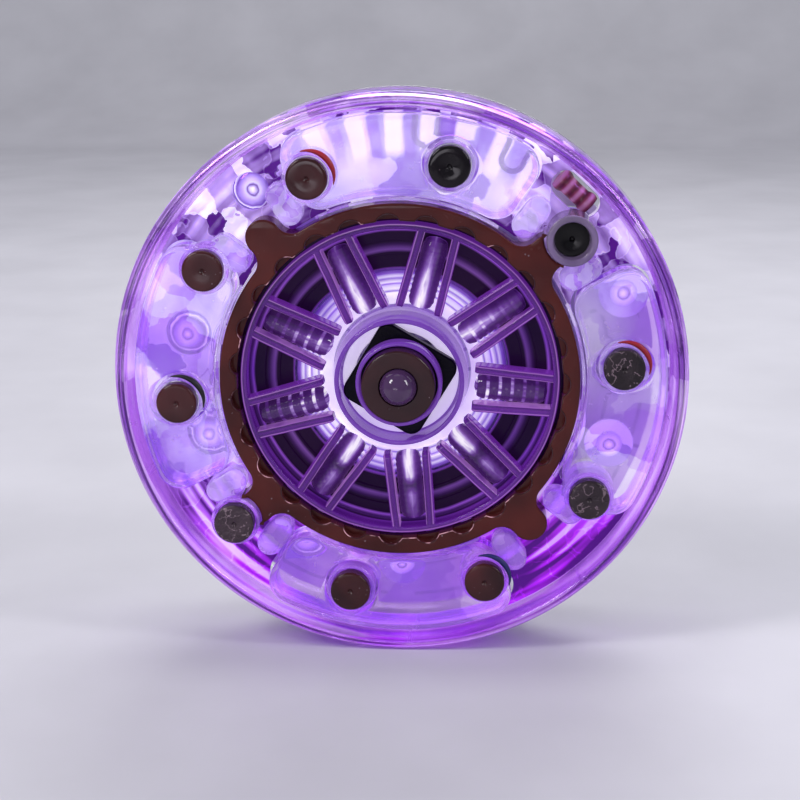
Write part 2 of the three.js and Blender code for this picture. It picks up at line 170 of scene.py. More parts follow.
def revolved(profile, segments=160, middle=(0, 0)):
    """A closed (radius, z) profile turned about z: x = r cos t, y = r sin t."""
    profile = np.asarray(profile, float)
    t = np.linspace(0, 2 * math.pi, segments, endpoint=False)[:, None]
    r, z = profile[None, :, 0], profile[None, :, 1]
    grid = np.stack([r * np.cos(t) + middle[0], r * np.sin(t) + middle[1], z + 0 * t], -1)
    return grid.reshape(-1, 3), grid_faces(segments, len(profile), True, True).tolist()


def swept(section, path, across, up, scale=1.0):
    """A closed (across, up) section carried along a path of points, with an end face at each end.
    scale sizes it, in one number or in one for each point."""
    section, path = np.asarray(section, float), np.asarray(path, float)
    stations, count = len(path), len(section)
    sized = section * np.broadcast_to(scale, stations)[:, None, None]
    across = np.broadcast_to(across, (stations, 3))
    up = np.broadcast_to(up, (stations, 3))
    grid = path[:, None] + sized[..., :1] * across[:, None] + sized[..., 1:] * up[:, None]
    faces = grid_faces(stations, count, False, True).tolist()
    faces.append(list(range(count))[::-1])
    faces.append(list(range((stations - 1) * count, stations * count)))
    return grid.reshape(-1, 3), faces


def tube(path, thick, sides=12, taper=1.0):
    """A round tube along a path: the section's two axes are n and t x n, where t is the path's
    direction and n the part of z square to it; taper scales it at each point."""
    path = np.asarray(path, float)
    tangent = np.gradient(path, axis=0)
    tangent /= np.linalg.norm(tangent, axis=1)[:, None]
    up = np.array([0, 0, 1.0]) - tangent * tangent[:, 2:]
    up /= np.linalg.norm(up, axis=1)[:, None]
    return swept(circle((0, 0), thick, sides), path, np.cross(tangent, up), up, taper)


def lifted(line, height):
    """A flat line of points at one height."""
    return np.column_stack([line, np.full(len(line), height)])


def loop_area(loop):
    x, y = loop[:, 0], loop[:, 1]
    return 0.5 * np.sum(x * np.roll(y, -1) - y * np.roll(x, -1))


def plate(loops, low, high, edge, steps=4):
    """A flat outline with holes between two heights. Each loop is carried through offsets
    edge (1 - cos a) into the material and heights edge (1 - sin a) from each face, so its edges
    are quarter rounds, and the two faces are filled between the innermost loops."""
    vertices, faces, caps, total = [], [], [], 0
    a = np.linspace(0, math.pi / 2, steps + 1)
    inward = np.concatenate([edge * (1 - np.cos(a))[::-1], edge * (1 - np.cos(a))])
    height = np.concatenate([low + edge * (1 - np.sin(a))[::-1], high - edge * (1 - np.sin(a))])
    for number, loop in enumerate(loops):
        loop = np.asarray(loop, float)
        if (loop_area(loop) > 0) != (number == 0):
            loop = loop[::-1]
        along = np.roll(loop, -1, 0) - np.roll(loop, 1, 0)
        along /= np.linalg.norm(along, axis=1)[:, None]
        outward = np.column_stack([along[:, 1], -along[:, 0]])
        rings = loop[None] - outward[None] * inward[:, None, None]
        grid = np.concatenate([rings, np.broadcast_to(height[:, None, None], rings.shape[:2] + (1,))], 2)
        count = len(loop)
        vertices.append(grid.reshape(-1, 3))
        faces += (grid_faces(len(inward), count, False, True) + total).tolist()
        caps.append((rings[-1], total, total + (len(inward) - 1) * count, count))
        total += len(inward) * count
    flat = [[Vector((x, y, 0)) for x, y in ring] for ring, _, _, _ in caps]
    bottom = np.concatenate([np.arange(count) + first for _, first, _, count in caps])
    top = np.concatenate([np.arange(count) + last for _, _, last, count in caps])
    triangles = np.array(tessellate_polygon(flat))
    faces += top[triangles].tolist() + bottom[triangles[:, ::-1]].tolist()
    return np.concatenate(vertices), faces


def joined(parts):
    """Several (vertices, faces) pairs as one."""
    vertices, faces, total = [], [], 0
    for points, polygons in parts:
        vertices.append(points)
        faces += [[v + total for v in polygon] for polygon in polygons]
        total += len(points)
    return np.concatenate(vertices), faces


def piece(name, shape, material, nodes, body=CASING):
    """Puts (vertices, faces) into a mesh in the row frame, closes its poles and seams, turns its
    faces outwards, and says what it rides on, replaces and takes its finish from."""
    points, faces = shape
    placed = np.column_stack(
        [points[:, 0] * MM, SCREW_PLANE - points[:, 2] * MM, points[:, 1] * MM + AXIS_HEIGHT]
    )
    mesh = bpy.data.meshes.new(name)
    mesh.from_pydata(placed.tolist(), [], faces)
    work = bmesh.new()
    work.from_mesh(mesh)
    bmesh.ops.remove_doubles(work, verts=work.verts, dist=2e-6)
    bmesh.ops.recalc_face_normals(work, faces=work.faces)
    work.to_mesh(mesh)
    work.free()
    mesh.polygons.foreach_set("use_smooth", np.ones(len(mesh.polygons), bool))
    mesh.set_sharp_from_angle(angle=math.radians(SHARP_EDGE))
    mesh.materials.append(material)
    made = bpy.data.objects.new(name, mesh)
    bpy.context.scene.collection.objects.link(made)
    evened = made.modifiers.new("even_faces", "WEIGHTED_NORMAL")
    evened.keep_sharp = True
    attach(made, body)
    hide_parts(*nodes)
    return made


# ---------------------------------------------------------------- materials


def shade(red, green, blue):
    """A colour given in screen values from 0 to 255, as linear light."""
    values = np.array([red, green, blue]) / 255
    linear = np.where(values <= 0.04045, values / 12.92, ((values + 0.055) / 1.055) ** 2.4)
    return (*linear.tolist(), 1.0)


def put(value, socket):
    """An input takes a link from another socket, or a plain value."""
    if isinstance(value, bpy.types.NodeSocket):
        socket.id_data.links.new(value, socket)
    else:
        socket.default_value = value


def fill(made, **values):
    """Gives a node's inputs their links and values by name, an underscore standing for a space."""
    for label, value in values.items():
        put(value, made.inputs[label.replace("_", " ")])
    return made


def node(tree, kind, **values):
    return fill(tree.nodes.new("ShaderNode" + kind), **values)


def tree_of(*operands):
    """The tree of the first socket among some sockets and numbers."""
    return next(one.id_data for one in operands if isinstance(one, bpy.types.NodeSocket))


def math_node(operation, *operands, clamp=False):
    """A Math node whose operands are sockets or numbers."""
    made = node(tree_of(*operands), "Math")
    made.operation = operation
    made.use_clamp = clamp
    for value, socket in zip(operands, made.inputs):
        put(value, socket)
    return made.outputs[0]


# line_of is a * b + c, and level_of is the same held between 0 and 1.
times = partial(math_node, "MULTIPLY")
line_of = partial(math_node, "MULTIPLY_ADD")
level_of = partial(math_node, "MULTIPLY_ADD", clamp=True)
minus = partial(math_node, "SUBTRACT")
above = partial(math_node, "GREATER_THAN")
under = partial(math_node, "LESS_THAN")
larger = partial(math_node, "MAXIMUM")
absolute = partial(math_node, "ABSOLUTE")
sine = partial(math_node, "SINE")
cosine = partial(math_node, "COSINE")
pingpong = partial(math_node, "PINGPONG")


def ramp(value, stops):
    """A colour ramp: (place, colour) stops, with the colours in screen values."""
    made = node(value.id_data, "ValToRGB", Fac=value)
    elements = made.color_ramp.elements
    while len(elements) < len(stops):
        elements.new(0.5)
    for element, (place, colour) in zip(elements, stops):
        element.position = place
        element.color = shade(*colour)
    return made.outputs[0]


def mix(amount, first, second, blend="MIX"):
    """A Mix node on colours; each operand is a socket or a colour."""
    made = node(tree_of(amount, first, second), "Mix")
    made.data_type = "RGBA"
    made.blend_type = blend
    for number, value in ((0, amount), (6, first), (7, second)):
        put(value, made.inputs[number])
    return made.outputs[2]


def mix_numbers(amount, first, second):
    made = node(amount.id_data, "Mix")
    for number, value in ((0, amount), (2, first), (3, second)):
        put(value, made.inputs[number])
    return made.outputs[0]


def noise(vector, scale, detail=3.0, rough=0.5):
    made = node(vector.id_data, "TexNoise", Vector=vector, Scale=scale, Detail=detail, Roughness=rough)
    return made.outputs["Fac"]


def object_point(tree):
    return node(tree, "TexCoord").outputs["Object"]


def placed_at(first, second):
    """A pattern's place, from two of its coordinates."""
    return node(first.id_data, "CombineXYZ", X=first, Y=second).outputs[0]


def new_group(name, inputs, outputs):
    """An empty shader node group: inputs and their defaults, outputs and their kinds."""
    group = bpy.data.node_groups.new(name, "ShaderNodeTree")
    for label, value in inputs.items():
        kind = "NodeSocketColor" if isinstance(value, tuple) else "NodeSocketFloat"
        group.interface.new_socket(label, in_out="INPUT", socket_type=kind).default_value = value
    for label, kind in outputs.items():
        group.interface.new_socket(label, in_out="OUTPUT", socket_type="NodeSocket" + kind)
    return group, group.nodes.new("NodeGroupInput").outputs, group.nodes.new("NodeGroupOutput")


def moulding_group():
    """Moulded plastic: a slow drift between two tints, faint flow waves for the bump, and a
    roughness that rises in smudges and in fine hairlines."""
    group, given, result = new_group(
        "moulded_plastic",
        {
            "Light Tint": (1, 1, 1, 1),
            "Deep Tint": (0.5, 0.5, 0.5, 1),
            "Smooth": 0.05,
            "Worn": 0.2,
            "Drift": 90.0,
        },
        {"Color": "Color", "Roughness": "Float", "Height": "Float"},
    )
    where = object_point(group)
    drift = node(group, "TexNoise", Vector=where, Scale=given["Drift"], Detail=2)
    contrast = level_of(drift.outputs["Fac"], 2.2, -0.6)
    tint = mix(contrast, given["Light Tint"], given["Deep Tint"])
    smudge = level_of(noise(where, 220, 4, 0.6), 3.0, -1.3)
    stretched = node(group, "Mapping", Vector=where, Rotation=(0.3, 0.7, 0.5), Scale=(900, 40, 900))
    hair = above(noise(stretched.outputs[0], 1.0, 1), 0.74)
    wear = larger(smudge, hair)
    spread = minus(given["Worn"], given["Smooth"])
    rough = line_of(spread, wear, given["Smooth"])
    height = line_of(hair, -0.15, noise(where, 160, 2))
    fill(result, Color=tint, Roughness=rough, Height=height)
    return group


def axis_terms(tree):
    """Object coordinates as the rest needs them: the point itself, its distance from the spin axis,
    its angle about it, and its height."""
    where = object_point(tree)
    across, _, height = node(tree, "SeparateXYZ", Vector=where).outputs
    above_axis = minus(height, AXIS_HEIGHT)
    both = line_of(across, across, times(above_axis, above_axis))
    return where, math_node("SQRT", both), math_node("ARCTAN2", above_axis, across), height


def glow_group():
    """Painted lamp light spread through the mouldings, for a glow and a colour. Voronoi cells bent by a
    noise give crystal facets of painted light, each with its own level, and painted glints on their
    edges. sin(FLUTES * angle) gives radial flutes of painted light and shade on the outer part of the
    upper half. A noise drawn out round the axis gives turned rings of painted light and shade, strongest
    below. The tint is painted light and shade too: it runs from deep at the bottom and to the right to
    pale at the top and to the left."""
    group, given, result = new_group(
        "lamp_glow",
        {
            "Bright": (1, 1, 1, 1),
            "Pale": (0.6, 0.5, 1, 1),
            "Deep": (0.4, 0.05, 0.9, 1),
            "Shadow": (0.1, 0.02, 0.3, 1),
            "Facets": 260.0,
            "Glints": 0.03,
            "Flutes": 0.0,
            "Rings": 0.0,
            "Ring Pitch": 0.0013,
            "Contrast": 1.0,
            "Middle": 0.42,
            "Bottom": 0.01,
            "Top": 0.036,
        },
        {"Color": "Color", "Level": "Float"},
    )
    where, reach, angle, height = axis_terms(group)
    bent = node(group, "VectorMath")
    bent.operation = "MULTIPLY_ADD"
    wobble = node(group, "TexNoise", Vector=where, Scale=240, Detail=3).outputs["Color"]
    for value, socket in zip((wobble, (0.006, 0.006, 0.006), where), bent.inputs):
        put(value, socket)
    cells = node(group, "TexVoronoi", Vector=bent.outputs[0], Scale=given["Facets"])
    own = node(group, "SeparateColor", Color=cells.outputs["Color"])
    slope = line_of(cells.outputs["Distance"], -0.45, own.outputs[0])
    edges = node(group, "TexVoronoi", Vector=bent.outputs[0], Scale=given["Facets"])
    edges.feature = "DISTANCE_TO_EDGE"
    glint = under(edges.outputs["Distance"], 0.03)
    jitter = times(noise(where, 60, 2), 7.0)
    flute = sine(line_of(angle, FLUTES, jitter))
    flute = level_of(flute, 2.2, 0.75)
    outer = node(group, "MapRange", Value=reach, From_Min=FLUTES_START * MM, From_Max=FLUTES_FULL * MM)
    # Painted light: the left side is raised here so it comes out paler and the right deeper.
    height_paler_left = line_of(cosine(angle), -0.003, height)
    rising = node(group, "MapRange", Value=height_paler_left, From_Min=given["Bottom"], From_Max=given["Top"])
    rising.interpolation_type = "SMOOTHSTEP"
    rise = rising.outputs[0]
    around = math_node("DIVIDE", reach, given["Ring Pitch"])
    turned = placed_at(around, times(angle, 1.2))
    wave = level_of(noise(turned, 1.0, 1), 4.0, -1.5)
    fluted_part = times(outer.outputs[0], level_of(height, 140.0, -7.0))
    fluted = mix_numbers(times(fluted_part, given["Flutes"]), slope, flute)
    below = times(line_of(rise, -0.75, 1.0), given["Rings"])
    ringed = mix_numbers(below, fluted, wave)
    drift = level_of(noise(where, 95, 3), 2.0, -0.5)
    mixed = line_of(ringed, 0.65, times(drift, 0.35))
    flat = line_of(minus(mixed, 0.5), given["Contrast"], given["Middle"])
    # Painted light: the level is lifted towards the top.
    level_paler_above = line_of(rise, 0.24, minus(flat, 0.22))
    lit = level_of(glint, given["Glints"], level_paler_above)
    body = mix(rise, given["Deep"], given["Pale"])
    shaded = mix(times(lit, 2.0, clamp=True), given["Shadow"], body)
    whitened = line_of(rise, 0.55, 0.45)
    bright = mix(whitened, given["Deep"], given["Bright"])
    high = level_of(lit, 2.0, -1.0)
    fill(result, Color=mix(high, shaded, bright), Level=lit)
    return group


MOULDING = moulding_group()
GLOW = glow_group()


def opened(made):
    """A material with its tree and its Principled shader."""
    return made, made.node_tree, made.node_tree.nodes["Principled BSDF"]


def new_material(name, **values):
    made = bpy.data.materials.new(name)
    made.use_nodes = True
    _, tree, shader = opened(made)
    fill(shader, **values)
    return made, tree, shader


def place_group(tree, group, **values):
    made = node(tree, "Group")
    made.node_tree = group
    return fill(made, **values).outputs


def add_bump(shader, height, strength, distance):
    bump = node(shader.id_data, "Bump", Height=height, Strength=strength, Distance=distance)
    fill(shader, Normal=bump.outputs[0])


def base_colour(shader):
    """The socket that gives the shader its base colour."""
    return shader.inputs["Base Color"].links[0].from_socket


def moulded(name, light, deep, smooth, worn, bump=0.12, drift=90.0, **values):
    """A moulded finish between two tints in screen values; clear_through's values make it clear."""
    made, tree, shader = new_material(name, **values)
    body = place_group(
        tree,
        MOULDING,
        Light_Tint=shade(*light),
        Deep_Tint=shade(*deep),
        Smooth=smooth,
        Worn=worn,
        Drift=drift,
    )
    fill(shader, Base_Color=body["Color"], Roughness=body["Roughness"])
    add_bump(shader, body["Height"], bump, 0.0004)
    return made


def glowing(name, light, deep, glow, strength, pattern, clear=False, **values):
    """A moulded finish that also gives off painted lamp light though it is no lamp, with painted light
    and shade in its base colour; glow is (bright, pale, deep, shadow).
    """
    made, tree, shader = opened(
        moulded(name, light, deep, 0.08, 0.3, Emission_Strength=strength, **values)
    )
    tints = {label: shade(*tint) for label, tint in zip(("Bright", "Pale", "Deep", "Shadow"), glow)}
    lit = place_group(tree, GLOW, **tints, **pattern)
    fill(shader, Emission_Color=lit["Color"])
    if clear:
        # Painted shade: where the painted light is low, the clear finish takes the deep tint.
        thin = level_of(lit["Level"], 1.6, 0.4)
        fill(shader, Base_Color=mix(thin, tints["Deep"], base_colour(shader)))
    else:
        fill(shader, Base_Color=lit["Color"])
        add_bump(shader, lit["Level"], 0.35, 0.0006)
    return made


def clear_through(weight, index=1.47):
    """The values of a shader that lets light through."""
    return dict(Transmission_Weight=weight, IOR=index)


CLEAR = clear_through(1.0)
WHITE = (255, 250, 255)
LAVENDER = (196, 178, 248)
VIOLET = (150, 70, 214)
LIT_VIOLET = (WHITE, (184, 154, 224), (180, 38, 242), (76, 18, 120))
LIT_LAVENDER = (WHITE, (220, 212, 244), (206, 120, 250), (132, 90, 196))
LIT_WHITE = (WHITE, (244, 238, 252), (236, 224, 250), (190, 160, 230))

# Every finish made by glowing gives off painted lamp light though it is no lamp, with painted light and
# shade in its colour: the rim, boss, pads, tabs, floor, diffuser and white floor.
violet_clear = glowing(
    "clear_violet_rim",
    (238, 204, 255),
    (212, 160, 250),
    LIT_VIOLET,
    0.22,
    dict(Facets=90, Glints=0.0, Rings=2.2, Ring_Pitch=0.0005, Contrast=3.2, Middle=0.3),
    clear=True,
    **CLEAR,
)
boss_clear = glowing(
    "clear_violet_boss",
    (226, 204, 248),
    (196, 166, 236),
    LIT_LAVENDER,
    0.14,
    dict(Facets=500, Glints=0.1, Contrast=1.2),
    clear=True,
    **clear_through(0.8),
)
lavender_clear = glowing(
    "clear_lavender_pad",
    (252, 246, 255),
    (236, 224, 255),
    LIT_LAVENDER,
    0.15,
    dict(Facets=120, Flutes=0.7, Rings=0.25, Ring_Pitch=0.002, Contrast=1.3, Middle=0.54, Top=0.028),
    clear=True,
    bump=0.3,
    Specular_IOR_Level=0.3,
    **clear_through(0.92),
)
tab_clear = glowing(
    "clear_lavender_tab",
    (232, 216, 252),
    (206, 182, 244),
    LIT_LAVENDER,
    0.2,
    dict(Facets=520, Glints=0.2, Contrast=1.2),
    clear=True,
    **clear_through(0.7),
)
water_clear = moulded("water_clear_shell", (252, 252, 255), (240, 240, 250), 0.015, 0.1, **CLEAR)
smoke_clear = moulded("smoky_nub", (124, 84, 140), (72, 44, 88), 0.06, 0.2, **clear_through(0.4, 1.5))
floor_glow = glowing(
    "violet_floor_glow",
    LAVENDER,
    VIOLET,
    LIT_VIOLET,
    0.6,
    dict(Facets=300, Glints=0.12, Rings=1.15, Ring_Pitch=0.0014, Contrast=1.9, Middle=0.45),
    Specular_IOR_Level=0.15,
)
diffuser_glow = glowing(
    "lavender_diffuser",
    LAVENDER,
    VIOLET,
    LIT_LAVENDER,
    0.48,
    dict(Facets=140, Flutes=0.9, Rings=0.25, Ring_Pitch=0.002, Contrast=1.7, Middle=0.54, Top=0.028),
    Specular_IOR_Level=0.2,
)
white_glow = glowing(
    "lit_white_floor", LAVENDER, VIOLET, LIT_WHITE, 0.6, dict(Facets=60, Glints=0.0, Contrast=0.5)
)
# The violet boss and the tip collar glow faintly: painted lamp light.
boss_violet = moulded(
    "violet_hub_boss",
    (118, 70, 172),
    (86, 38, 140),
    0.05,
    0.2,
    Emission_Color=shade(150, 84, 214),
    Emission_Strength=0.22,
    **clear_through(0.35),
)
sunk_ring_grey = moulded(
    "grey_violet_ring", (156, 136, 172), (112, 92, 132), 0.06, 0.25, **clear_through(0.3)
)
slot_violet = moulded("slot_edge_violet", (150, 112, 200), (120, 80, 176), 0.1, 0.3)
black_plastic = moulded(
    "black_switch_plastic", (20, 15, 30), (9, 6, 15), 0.22, 0.45, Specular_IOR_Level=0.08
)
INSULATION = {
    "red": moulded("red_insulation", (186, 30, 48), (140, 14, 30), 0.35, 0.6),
    "black": moulded("black_insulation", (24, 20, 30), (10, 8, 14), 0.35, 0.6),
    "blue": moulded("blue_insulation", (26, 34, 110), (12, 18, 70), 0.35, 0.6),
}


def lamp_lens():
    """The lit lens: a white dot in the middle, a thin violet ring round it, then lavender that
    deepens to the edge, by each point's own distance from the lamp's axis."""
    made, tree, shader = new_material("lit_lamp_lens", Emission_Strength=0.62, Coat_Weight=1.0)
    reach = node(tree, "Attribute")
    reach.attribute_name = "lamp_reach"
    where = object_point(tree)
    shaken = line_of(noise(where, 700, 3), 0.22, reach.outputs["Fac"])
    # The white stop near the edge, at 0.97, is a painted highlight ring; the rest is the lamp's own
    # light.
    stops = [
        (0.16, WHITE),
        (0.26, (214, 196, 246)),
        (0.36, (108, 70, 164)),
        (0.44, (228, 216, 248)),
        (0.62, (188, 164, 232)),
        (0.86, (104, 64, 164)),
        (0.97, WHITE),
        (1.0, (110, 64, 180)),
    ]
    tint = ramp(shaken, stops)
    rough = line_of(noise(where, 900, 2), 0.25, 0.05)
    fill(shader, Base_Color=tint, Emission_Color=tint, Roughness=rough)
    return made


def banded_resistor():
    """Dark pink lacquer with bands across it: a sine of the distance along the resistor."""
    # The lacquer glows faintly in its own colour: painted lamp light.
    made, tree, shader = opened(
        moulded(
            "resistor_lacquer", (150, 70, 104), (110, 40, 70), 0.12, 0.3, Emission_Strength=0.22
        )
    )
    swing = math.radians(RESISTOR_TURN)
    along = node(tree, "VectorMath")
    along.operation = "DOT_PRODUCT"
    put(object_point(tree), along.inputs[0])
    put((-math.sin(swing), 0, math.cos(swing)), along.inputs[1])
    turns = times(along.outputs["Value"], 2 * math.pi / (RESISTOR_BAND * MM))
    stops = [
        (0.0, (84, 26, 44)),
        (0.5, (132, 54, 82)),
        (0.7, (164, 92, 128)),
        (1.0, (186, 124, 164)),
    ]
    tint = ramp(line_of(sine(turns), 0.5, 0.5), stops)
    fill(shader, Base_Color=tint, Emission_Color=tint)
    return made


def painted_glint_lip():
    """The glossy lip of the scallops: dark brown with painted highlights, stretches that glow pale where
    a noise runs high, more of them to the left and below."""
    made, tree, shader = opened(
        moulded("scallop_lip_painted_glints", (64, 28, 28), (44, 18, 20), 0.08, 0.2, Emission_Strength=0.5)
    )
    where, _, angle, _ = axis_terms(tree)
    # More painted highlights towards the lower left.
    facing = cosine(math_node("ADD", angle, 2.4))
    glint_patches = line_of(facing, 0.07, noise(where, 620, 2))
    stops = [(0.0, (30, 12, 14)), (0.58, (48, 20, 22)), (0.72, (196, 146, 158))]
    tint = ramp(glint_patches, stops)
    fill(shader, Base_Color=tint, Emission_Color=tint)
    return made


def overlay(shader, mask, colour):
    """Lays a colour over the base colour where a mask is one."""
    fill(shader, Base_Color=mix(mask, base_colour(shader), shade(*colour)))


def traced_board():
    """White solder mask over copper tracks: three rings and twenty spokes where the distance from a
    track's middle line is small, with a noise deciding which stretches of track are there."""
    made, tree, shader = opened(
        moulded("traced_solder_mask", (232, 228, 242), (210, 204, 228), 0.3, 0.5)
    )
    where, reach, angle, _ = axis_terms(tree)
    across = pingpong(minus(reach, 17.5 * MM), 2.1 * MM)
    aside = times(pingpong(angle, math.radians(9)), reach)
    nearest = math_node("MINIMUM", across, aside)
    drawn = above(noise(where, 130, 1), 0.47)
    track = times(under(nearest, 0.22 * MM), drawn)
    overlay(shader, track, (176, 166, 204))
    add_bump(shader, track, 0.4, 0.0002)
    return made


def spoke_terms(tree):
    """Where a point is on its spoke: its distance from the spin axis, its angle about it, and its
    distance from the spoke's middle line, reach * sin(angle from the spoke)."""
    where, reach, angle, _ = axis_terms(tree)
    gap = math.radians(SPOKE_ANGLES[1] - SPOKE_ANGLES[0])
    own = math_node("WRAP", minus(angle, math.radians(SPOKE_ANGLES[0])), -gap / 2, gap / 2)
    return where, reach, angle, times(reach, sine(own))


def spoke_plastic():
    """Clear violet plastic with painted light: each bar and the ring glow with a painted line of light
    along both edges and a painted deep core between, by the distance in from the outer edge."""
    made, tree, shader = opened(
        moulded(
            "violet_spoke_plastic",
            (104, 36, 146),
            (64, 16, 100),
            0.04,
            0.18,
            Specular_IOR_Level=0.3,
            Emission_Strength=0.42,
            **clear_through(0.5),
        )
    )
    where, reach, _, across = spoke_terms(tree)
    across = absolute(across)
    spread = (SPOKE_END_HALF - SPOKE_START_HALF) / (SPOKE_END - SPOKE_INNER)
    half = line_of(reach, spread, (SPOKE_START_HALF - spread * SPOKE_INNER) * MM)
    in_bar = minus(across, half)
    in_ring = minus(reach, SPOKE_RING[1] * MM)
    on_ring = above(reach, 18.8 * MM)
    place = level_of(mix_numbers(on_ring, in_bar, in_ring), 1 / (2 * SPOKE_WALL * MM), 1.0)
    shaken = line_of(noise(where, 260, 2), 0.16, place)
    # edge is the painted line of light and core the painted dark between them.
    edge, core = (214, 150, 240), (48, 8, 78)
    stops = [
        (0.04, (96, 32, 140)),
        (0.12, edge),
        (0.2, core),
        (0.5, (84, 26, 128)),
        (0.8, core),
        (0.92, edge),
        (1.0, (110, 44, 160)),
    ]
    fill(shader, Emission_Color=ramp(shaken, stops))
    return made


def spoke_barrel():
    """The clear barrel in a spoke, glowing with painted light: lit from the hub end and fading outwards,
    with a painted highlight streak along it, painted rib glints across the level ones (a sine of the
    reach) and a painted dark band on the lower ones."""
    made, tree, shader = opened(
        moulded(
            "clear_spoke_barrel",
            (96, 54, 132),
            (54, 22, 80),
            0.05,
            0.14,
            Emission_Strength=0.8,
            **clear_through(0.35),
        )
    )
    _, reach, angle, across = spoke_terms(tree)
    place = placed_at(times(reach, 260.0), times(across, 1300.0))
    grain = level_of(noise(place, 1.0, 2), 2.6, -0.9)
    aside = absolute(minus(across, 0.15 * MM))
    crown = level_of(aside, -1 / (0.95 * MM), 1.0)
    highlight_streak = times(crown, line_of(grain, 0.7, 0.55))
    wave = sine(times(reach, 2 * math.pi / (1.5 * MM)))
    rib_glints = times(level_of(wave, 2.4, -1.0), grain)
    sideways = absolute(cosine(angle))
    chosen = mix_numbers(level_of(sideways, 4.0, -3.0), highlight_streak, rib_glints)
    fade = node(
        tree, "MapRange", Value=reach, From_Min=9.2 * MM, From_Max=16.5 * MM, To_Min=1.1, To_Max=0.4
    )
    lit = times(fade.outputs[0], math_node("ADD", chosen, 0.12))
    # Painted shade: a dark band round a reach of 13.6 mm on the lower barrels.
    off_band = absolute(minus(reach, 13.6 * MM))
    clear_of = times(off_band, 1 / (1.2 * MM), clamp=True)
    upright = level_of(sine(angle), 2.0, 1.6)
    level = times(lit, larger(clear_of, upright))
    stops = [
        (0.06, (30, 8, 44)),
        (0.3, (84, 40, 122)),
        (0.5, (160, 128, 200)),
        (0.75, WHITE),
    ]
    fill(shader, Emission_Color=ramp(level, stops))
    return made


def flecked_brown(name, light, deep, smooth, worn, flecks, scratched=False, **values):
    """Glossy dark brown with pale dust flecks; a scratched head also has pale
    scratches, where a noise crosses its middle value."""
    made, tree, shader = opened(moulded(name, light, deep, smooth, worn, drift=140.0, **values))
    where = object_point(tree)
    dots = node(tree, "TexVoronoi", Vector=where, Scale=flecks)
    small = under(dots.outputs["Distance"], 0.09)
    mask = times(small, above(noise(where, 130, 2), 0.56))
    if scratched:
        contour = absolute(minus(noise(where, 620, 4), 0.5))
        thin = under(contour, 0.014)
        worn_away = above(noise(where, 480, 3), 0.47)
        mask = larger(mask, times(thin, worn_away))
        add_bump(shader, noise(where, 1500, 3), 0.5, 0.0003)
    overlay(shader, mask, (128, 108, 118))
    return made


def turned_rings(name, inner, outer, stops, strength, **values):
    """Turned rings: colours by distance from the spin axis between two radii, given off as a painted
    glow, with each ring brighter and dimmer round its way in painted light and shade."""
    made, tree, shader = new_material(name, Emission_Strength=strength, **values)
    where, reach, _, _ = axis_terms(tree)
    place = node(tree, "MapRange", Value=reach, From_Min=inner * MM, From_Max=outer * MM)
    drift = noise(where, 120, 2)
    shaken = line_of(drift, 0.06, place.outputs[0])
    tint = ramp(minus(shaken, 0.03), stops)
    shadow = level_of(drift, 2.4, -0.7)
    dimmed = mix(shadow, mix(1.0, tint, shade(200, 176, 232), "MULTIPLY"), tint)
    rough = line_of(noise(where, 600, 3), 0.25, 0.06)
    fill(shader, Base_Color=dimmed, Emission_Color=dimmed, Roughness=rough)
    add_bump(shader, drift, 0.1, 0.0003)
    return made


def metal(name, light, deep, roughness, grain):
    """Plated or drawn metal: stretched grain in the roughness and a faint tint drift."""
    made, tree, shader = new_material(name, Metallic=1.0)
    where = object_point(tree)
    tint = ramp(noise(where, 150, 4), [(0.35, deep), (0.65, light)])
    stretched = node(tree, "Mapping", Vector=where, Scale=(grain, grain, 60))
    lines = noise(stretched.outputs[0], 1.0, 2)
    fill(shader, Base_Color=tint, Roughness=line_of(lines, 0.25, roughness))
    add_bump(shader, lines, 0.08, 0.0002)
    return made


lamp_glow_lens = lamp_lens()
spoke_violet = spoke_plastic()
barrel_clear = spoke_barrel()
resistor_bands = banded_resistor()
white_board = traced_board()
brown_gloss = flecked_brown(
    "brown_plate_gloss", (90, 36, 33), (62, 25, 26), 0.1, 0.3, 900.0, Specular_IOR_Level=0.2
)
lip_painted_glints = painted_glint_lip()
brown_disc = flecked_brown(
    "brown_tip_gloss", (62, 32, 36), (42, 21, 27), 0.14, 0.35, 1400.0, Specular_IOR_Level=0.3
)
screw_brown = flecked_brown(
    "brown_screw_gloss", (84, 38, 40), (36, 15, 20), 0.1, 0.3, 1500.0, Specular_IOR_Level=0.3
)
gunmetal = flecked_brown(
    "rough_gunmetal", (74, 58, 68), (14, 9, 14), 0.26, 0.6, 2200.0, scratched=True, Metallic=0.4
)
screw_black = flecked_brown(
    "black_screw_gloss", (26, 19, 26), (5, 3, 6), 0.06, 0.3, 1800.0, Specular_IOR_Level=0.25
)
# The plated reflector's white and violet rings glow: painted reflections of the lamps' light.
ring_stripe_violet = (150, 114, 214)
silver_rings_painted_reflection = turned_rings(
    "silvered_rings_painted_reflection",
    8.6,
    13.2,
    [
        (0.0, WHITE),
        (0.36, WHITE),
        (0.4, ring_stripe_violet),
        (0.46, WHITE),
        (0.56, (222, 208, 250)),
        (0.6, (150, 104, 214)),
        (0.66, WHITE),
        (0.76, ring_stripe_violet),
        (0.82, (236, 226, 252)),
        (0.9, (132, 84, 196)),
        (1.0, (80, 36, 128)),
    ],
    0.72,
)
